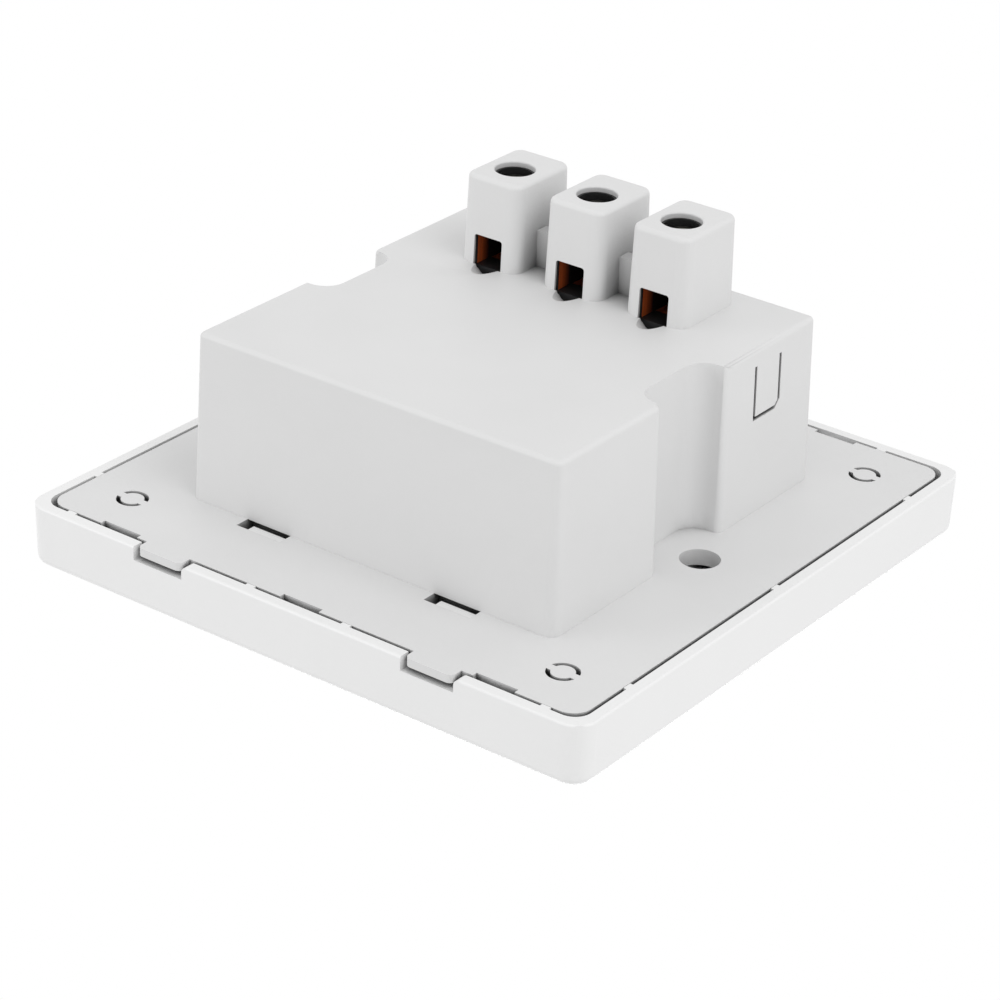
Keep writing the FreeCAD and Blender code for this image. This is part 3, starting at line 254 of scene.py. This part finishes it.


# The housing gets painted shade in its narrow gaps and on the faces between its towers.
housing_plastic = moulded_plastic("moulded_nylon_white", HOUSING_WHITE, HOUSING_SHADE,
                                  HOUSING_ROUGHNESS, HOUSING_GRAIN_DEPTH, (NARROW_GAP_SHADE, TOWER_GAP_SHADE))
edged_copy("rear_housing", "housing_moulding", HOUSING_EDGE_MM, housing_plastic, "base",
           rounder=((TOWER_TOP_RADIUS_MM, tower_top), (SCREW_RIM_RADIUS_MM, screw_rim),
                    (BOX_TOP_RADIUS_MM, box_top), (BAY_RADIUS_MM, bay_side)))


# Front cover: a shallow moulded lid of white polycarbonate, brighter and smoother than the box.
# Its mould is polished to a fine satin, and five lugs inside the rim snap it onto the plate.
COVER_WHITE = "#EDEDED"
COVER_SHADE = "#EAEAEA"
COVER_ROUGHNESS = 0.36
COVER_GRAIN_DEPTH = 0.12
# Painted shade inside the cover's narrow gaps, such as the groove round the plate.
COVER_GAP_SHADE = (3.0, 0.02, 0.2)
COVER_EDGE_MM = 0.1
COVER_RIM_SLACK_MM = 0.02
COVER_RIM_FROM_MM = 42.4
COVER_RIM_RADIUS_MM = 0.3
COVER_FRONT_BELOW_MM = -7.5
COVER_FRONT_FROM_MM = 41
COVER_FRONT_RADIUS_MM = 0.48


def cover_rim(p):
    """The outer edge of the cover's rear rim."""
    return abs(p.y) < COVER_RIM_SLACK_MM and max(abs(p.x), abs(p.z)) > COVER_RIM_FROM_MM


def cover_front(p):
    """Both edges of the bevel round the cover's face, which together make one 1.2 mm radius."""
    return p.y < COVER_FRONT_BELOW_MM and max(abs(p.x), abs(p.z)) > COVER_FRONT_FROM_MM


cover_plastic = moulded_plastic("moulded_polycarbonate_white", COVER_WHITE, COVER_SHADE,
                                COVER_ROUGHNESS, COVER_GRAIN_DEPTH, (COVER_GAP_SHADE,))
edged_copy("front_cover", "cover_moulding", COVER_EDGE_MM, cover_plastic, "cover",
           rounder=((COVER_RIM_RADIUS_MM, cover_rim), (COVER_FRONT_RADIUS_MM, cover_front)))


# Shutter frame and shutters: nylon mouldings behind the cover's face. The frame is a brighter white
# than the housing, and its four catches show in the plate's windows from behind.
FRAME_WHITE = "#EBEBEB"
FRAME_SHADE = "#E6E6E6"
FRAME_GRAIN_DEPTH = 0.2
# Painted shade inside the frame's gaps, such as round its catches in the plate's windows.
FRAME_GAP_SHADE = (3.0, 0.3, 0.62)
FRAME_EDGE_MM = 0.1
SHUTTER_EDGE_MM = 0.06

frame_plastic = moulded_plastic("moulded_nylon_bright", FRAME_WHITE, FRAME_SHADE, HOUSING_ROUGHNESS,
                                FRAME_GRAIN_DEPTH, (FRAME_GAP_SHADE,))
edged_copy("shutter_frame", "shutter_frame_moulding", FRAME_EDGE_MM, frame_plastic, "base")
edged_copy("two_pin_shutter", "two_pin_shutter_moulding", SHUTTER_EDGE_MM, housing_plastic,
           "two_pin_slider")
edged_copy("three_pin_shutter", "three_pin_shutter_moulding", SHUTTER_EDGE_MM, housing_plastic,
           "three_pin_slider")


# Push button, light guide and lamp: the button is moulded in the cover's own colour and finish, and
# the guide is a clear polycarbonate bar with a frosted end that carries the lamp's light to the face.
BUTTON_EDGE_MM = 0.1
CLEAR_TINT = "#E8ECEE"
CLEAR_ROUGHNESS = 0.45
CLEAR_IOR = 1.585
CLEAR_SHARE = 0.6

edged_copy("push_button", "push_button_cap", BUTTON_EDGE_MM, cover_plastic, "button")


def clear_plastic(name, tint):
    """Frosted clear polycarbonate: light goes through it and comes out scattered."""
    material = new_material(name)
    shader = add_node(material, "ShaderNodeBsdfPrincipled", Base_Color=linear(tint),
                      Roughness=CLEAR_ROUGHNESS, IOR=CLEAR_IOR, Transmission_Weight=CLEAR_SHARE)
    return finish_material(material, shader)


def dress(nodes, material):
    """Puts a material on CAD nodes that stay as they are."""
    for node in nodes:
        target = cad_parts[node]
        target.data.materials.clear()
        target.data.materials.append(material)


frosted = clear_plastic("frosted_polycarbonate", CLEAR_TINT)
dress(("light_guide", "signal_lamp"), frosted)


# Black mouldings: the contact base, the switch, the fuse and the terminal liners. They are
# glass-filled nylon, whose fibres leave it a matt, slightly greyed black.
BLACK = "#131313"
BLACK_GREY = "#1A1A1B"
BLACK_ROUGHNESS = 0.5
BLACK_GRAIN_DEPTH = 0.3

black_plastic = moulded_plastic("moulded_nylon_black", BLACK, BLACK_GREY, BLACK_ROUGHNESS,
                                BLACK_GRAIN_DEPTH)
dress(("contact_base", "switch_plunger", "tact_switch", "fuse", "live_terminal_liner",
       "earth_terminal_liner", "neutral_terminal_liner"), black_plastic)


# Contacts and terminal cages: strips of copper alloy, rolled, then stamped and bent. Rolling leaves
# fine lines along the strip, and stamping leaves the surface dull. A cage is bare beside its wire
# window and painted black as shade further in, so its copper fades into the dark.
COPPER = "#E8743C"
COPPER_DARK = "#A0451F"
COPPER_ROUGHNESS = 0.42
COPPER_BARE = 0.35
# Painted shade: the contact strips go dark inside their gaps.
STRIP_GAP_SHADE = (6.0, 0.05, 0.3)
# Painted shade: each cage is painted black between these heights, further in from its window.
CAGE_SHADE_MM = (13.9, 15.5)
ROLL_LINE_MM = 0.45
ROLL_LENGTH_MM = 25
ROLL_DETAIL = 3.0
ROLL_DEPTH = 0.4
ROLL_HEIGHT_MM = 0.03


def rolled_metal(name, colour, dark, roughness, line_mm, along, bare=1.0, gap_shades=(), shade_mm=None):
    """Rolled metal strip: streaks along one axis, from a noise squeezed to one line per line_mm across.

    bare is the share of bright metal; the rest is covered by a dull tarnish of the same colour. The
    metal gets painted shade inside each kind of gap it is given. From the first of the two heights in mm
    it may be given, up the wall, to the second, it turns black with painted shade.
    """
    material = new_material(name)
    place = add_node(material, "ShaderNodeTexCoord")
    stretch = [1000 / line_mm] * 3
    stretch["XYZ".index(along)] = 1000 / ROLL_LENGTH_MM
    squeeze = add_node(material, "ShaderNodeMapping", [(place.outputs["Object"], "Vector")])
    squeeze.inputs["Scale"].default_value = stretch
    lines = add_node(material, "ShaderNodeTexNoise", [(squeeze.outputs["Vector"], "Vector")],
                     Scale=1.0, Detail=ROLL_DETAIL)
    tone = add_node(material, "ShaderNodeMix", [(lines.outputs["Fac"], "Factor")], data_type="RGBA")
    tone.inputs[MIX_A].default_value = linear(dark)
    tone.inputs[MIX_B].default_value = linear(colour)
    base = tone.outputs[MIX_COLOUR]
    if shade_mm:
        parts = add_node(material, "ShaderNodeSeparateXYZ", [(place.outputs["Object"], "Vector")])
        edge = add_node(material, "ShaderNodeMapRange", [(parts.outputs["Z"], "Value")])
        edge.inputs["From Min"].default_value = shade_mm[0] / 1000
        edge.inputs["From Max"].default_value = shade_mm[1] / 1000
        shaded = add_node(material, "ShaderNodeMix", [(edge.outputs[0], "Factor"), (base, MIX_A)],
                          data_type="RGBA")
        shaded.inputs[MIX_B].default_value = linear(GAP_SHADE)
        base = shaded.outputs[MIX_COLOUR]
    for gap in gap_shades:
        base = painted_gap_shade(material, base, *gap)
    relief = add_node(material, "ShaderNodeBump", [(lines.outputs["Fac"], "Height")],
                      Strength=ROLL_DEPTH, Distance=ROLL_HEIGHT_MM / 1000)
    shader = add_node(material, "ShaderNodeBsdfPrincipled",
                      [(base, "Base Color"), (relief.outputs["Normal"], "Normal")],
                      Metallic=bare, Roughness=roughness)
    return finish_material(material, shader)


strip_copper = rolled_metal("rolled_copper_alloy", COPPER, COPPER_DARK, COPPER_ROUGHNESS,
                            ROLL_LINE_MM, "Y", COPPER_BARE, gap_shades=(STRIP_GAP_SHADE,))
dress(("live_contact", "neutral_contact", "earth_contact", "live_input_strip"), strip_copper)
cage_copper = rolled_metal("rolled_copper_scaled", COPPER, COPPER_DARK, COPPER_ROUGHNESS,
                           ROLL_LINE_MM, "Y", COPPER_BARE, shade_mm=CAGE_SHADE_MM)
dress(("live_terminal_cage", "earth_terminal_cage", "neutral_terminal_cage"), cage_copper)


# Screws, clamp plates and the radio's shield: zinc- or tin-plated steel, which is a bright grey with
# a slight warmth. The plating evens out the rolling lines, so they are finer than on the copper.
ZINC = "#9B9A96"
ZINC_DARK = "#6F6E6B"
ZINC_ROUGHNESS = 0.32
ZINC_LINE_MM = 0.3

plated_steel = rolled_metal("zinc_plated_steel", ZINC, ZINC_DARK, ZINC_ROUGHNESS, ZINC_LINE_MM, "X")
dress(("base_screw_1", "base_screw_2", "live_clamp_plate", "earth_clamp_plate",
       "neutral_clamp_plate", "live_terminal_screw", "earth_terminal_screw",
       "neutral_terminal_screw", "radio_shield"), plated_steel)


# Shutter springs: folded leaves of the same plated steel, each fixed at its right end.

# Each row gives the spring, its shutter's joint, the travel and the fixed end's place, in metres.
SHUTTER_SPRINGS = (("two_pin_shutter_spring", "two_pin_shutter_slide", 0.0028, 0.0135),
                   ("three_pin_shutter_spring", "three_pin_shutter_slide", 0.0032, 0.0153))

for node, joint, travel, fixed_end in SHUTTER_SPRINGS:
    leaf = edged_copy(node, node + "_leaf", 0, plated_steel, "base")
    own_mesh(leaf)


# Threaded collars: each terminal screw runs in a collar of plated steel inside its liner's tube.
# The thread is tapped at 0.7 mm pitch, as deep down the hole as the eye can reach from outside.
THREAD_PITCH_MM = 0.7
THREAD_ROOT_MM = 2.27
THREAD_CREST_MM = 2.05
THREAD_LOW_MM = 31.4
THREAD_TURNS = 2.5
THREAD_STEPS = 60


def tapped_bore(name, x_mm, body):
    """Inside of a screw thread round a vertical line, as a grid of turn angles u and half pitches k.

    The height is low + pitch (k / 2 + u / (2 pi)), and the radius is the root where k is even and the
    crest where k is odd.
    """
    u, k = np.meshgrid(np.linspace(0, 2 * np.pi, THREAD_STEPS + 1), np.arange(2 * THREAD_TURNS + 1),
                       indexing="ij")
    radius = np.where(k % 2 == 0, THREAD_ROOT_MM, THREAD_CREST_MM)
    height = THREAD_LOW_MM + THREAD_PITCH_MM * (k / 2 + u / (2 * np.pi))
    points = np.stack([x_mm + radius * np.cos(u), height, SCREW_PLACE_MM + radius * np.sin(u)],
                      axis=-1) / 1000
    corner = np.arange(u.size).reshape(u.shape)
    faces = np.stack([corner[:-1, :-1], corner[:-1, 1:], corner[1:, 1:], corner[1:, :-1]], axis=-1)
    mesh = bpy.data.meshes.new(name)
    mesh.from_pydata(points.reshape(-1, 3).tolist(), [], faces.reshape(-1, 4).tolist())
    mesh.materials.append(plated_steel)
    piece = bpy.data.objects.new(name, mesh)
    bpy.context.scene.collection.objects.link(piece)
    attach(piece, body)


for name, x_mm in zip(("live_thread", "earth_thread", "neutral_thread"), TERMINAL_PLACES_MM):
    tapped_bore(name, x_mm, "base")


# Electronics: green boards and the sleeved, taped or dipped parts on them, each in its usual colour.
# They are smooth, so their grain is shallow. Each row gives the nodes, the material, its two tones
# and its roughness.
SMOOTH_GRAIN_DEPTH = 0.1
ELECTRONICS = (
    (("main_board", "button_board", "radio_board"), "green_solder_mask", "#1E5A34", "#194D2C", 0.35),
    (("relay",), "relay_case_blue", "#1C3E78", "#193868", 0.3),
    (("transformer",), "winding_tape_yellow", "#D9B43A", "#C9A22F", 0.35),
    (("filter_capacitor",), "capacitor_sleeve_black", "#202227", "#1B1D22", 0.3),
    (("varistor",), "dipped_coating_blue", "#24548F", "#1F4A80", 0.25))

for nodes, name, colour, shade, roughness in ELECTRONICS:
    dress(nodes, moulded_plastic(name, colour, shade, roughness, SMOOTH_GRAIN_DEPTH))


# Camera: long lens, below and behind the socket as it hangs on a wall, rolled so that the wall
# side points up in the picture. Angles and distance were fitted to the outlines in the photograph.
CAMERA_TURN = 35.721
CAMERA_RISE = 27.156
CAMERA_ROLL = 2.355
CAMERA_DISTANCE = 0.426757
CAMERA_TARGET = Vector((-0.003711, 0.0016, -0.005973))
CAMERA_NEAREST = 0.01
CAMERA_FURTHEST = 20.0
LENS_MM = 121.962
SENSOR_MM = 36.0
WALL_NORMAL = Vector((0, 1, 0))

turn, rise, roll = (math.radians(angle) for angle in (CAMERA_TURN, CAMERA_RISE, CAMERA_ROLL))
back = Vector((-math.sin(turn) * math.cos(rise), math.sin(rise), -math.cos(turn) * math.cos(rise)))
level_right = (-back).cross(WALL_NORMAL).normalized()
level_up = level_right.cross(-back)
right = level_right * math.cos(roll) + level_up * math.sin(roll)
up = level_up * math.cos(roll) - level_right * math.sin(roll)
camera = bpy.data.objects.new("camera", bpy.data.cameras.new("camera"))
bpy.context.scene.collection.objects.link(camera)
camera.matrix_world = (Matrix.Translation(CAMERA_TARGET + back * CAMERA_DISTANCE)
                       @ Matrix((right, up, back)).transposed().to_4x4())
camera.data.lens = LENS_MM
camera.data.sensor_width = SENSOR_MM
camera.data.clip_start = CAMERA_NEAREST
camera.data.clip_end = CAMERA_FURTHEST
bpy.context.scene.camera = camera


# Studio: a white room of soft light with four large soft boxes, and a pale floor under the cover's
# lower edge. The floor is open from below, because the photograph looks up past it.
ROOM_LIGHT = 0.80
SEEN_WHITE = 1.0

# Each row gives a lamp, its place, the point it is aimed at, its side in metres and its watts.
SOFT_BOXES = (("key_soft_box", (-0.55, 0.75, -0.10), (0, 0.01, 0), 0.6, 2.2),
              ("left_soft_box", (0.60, 0.20, -0.60), (0.02, 0, -0.03), 0.5, 1.6),
              ("front_soft_box", (0.35, -0.90, 0.70), (0, 0, 0), 0.7, 3.0),
              ("side_soft_box", (-0.90, 0.03, -0.02), (0, 0.01, 0), 0.4, 0.45))

FLOOR_PALE = "#F6F6F6"
FLOOR_LEVEL = -0.04305
FLOOR_HALF = 1.2

for name, place, aim, side, watts in SOFT_BOXES:
    lamp = bpy.data.lights.new(name, "AREA")
    lamp.size = side
    lamp.energy = watts
    soft_box = bpy.data.objects.new(name, lamp)
    bpy.context.scene.collection.objects.link(soft_box)
    soft_box.location = place
    soft_box.rotation_mode = "QUATERNION"
    soft_box.rotation_quaternion = (Vector(aim) - Vector(place)).to_track_quat("-Z", "Y")

world = bpy.data.worlds.new("white_room")
world.use_nodes = True
world.node_tree.nodes.clear()
bpy.context.scene.world = world
seen = add_node(world, "ShaderNodeLightPath")
either = add_node(world, "ShaderNodeMath", [(seen.outputs["Is Camera Ray"], 0),
                                            (seen.outputs["Is Transmission Ray"], 1)],
                  operation="MAXIMUM")
shown = add_node(world, "ShaderNodeMath", [(either.outputs[0], 0), (seen.outputs["Is Glossy Ray"], 1)],
                 operation="MAXIMUM")
strength = add_node(world, "ShaderNodeMapRange", [(shown.outputs[0], "Value")])
strength.inputs["To Min"].default_value = ROOM_LIGHT
strength.inputs["To Max"].default_value = SEEN_WHITE
sky = add_node(world, "ShaderNodeBackground", [(strength.outputs[0], "Strength")], Color=(1, 1, 1, 1))
add_node(world, "ShaderNodeOutputWorld", [(sky.outputs[0], "Surface")])

floor_mesh = bpy.data.meshes.new("floor")
floor_mesh.from_pydata([(x * FLOOR_HALF, y * FLOOR_HALF, FLOOR_LEVEL)
                        for x, y in ((-1, -1), (1, -1), (1, 1), (-1, 1))], [], [(0, 1, 2, 3)])
floor = bpy.data.objects.new("floor", floor_mesh)
bpy.context.scene.collection.objects.link(floor)
floor.visible_shadow = False
floor.visible_diffuse = False
pale = new_material("pale_floor")
facing = add_node(pale, "ShaderNodeNewGeometry")
board = add_node(pale, "ShaderNodeBsdfDiffuse", Color=linear(FLOOR_PALE))
open_side = add_node(pale, "ShaderNodeBsdfTransparent")
surface = add_node(pale, "ShaderNodeMixShader", [(facing.outputs["Backfacing"], 0),
                                                 (board.outputs[0], 1), (open_side.outputs[0], 2)])
finish_material(pale, surface)
floor_mesh.materials.append(pale)

bpy.context.scene.view_settings.view_transform = "Standard"
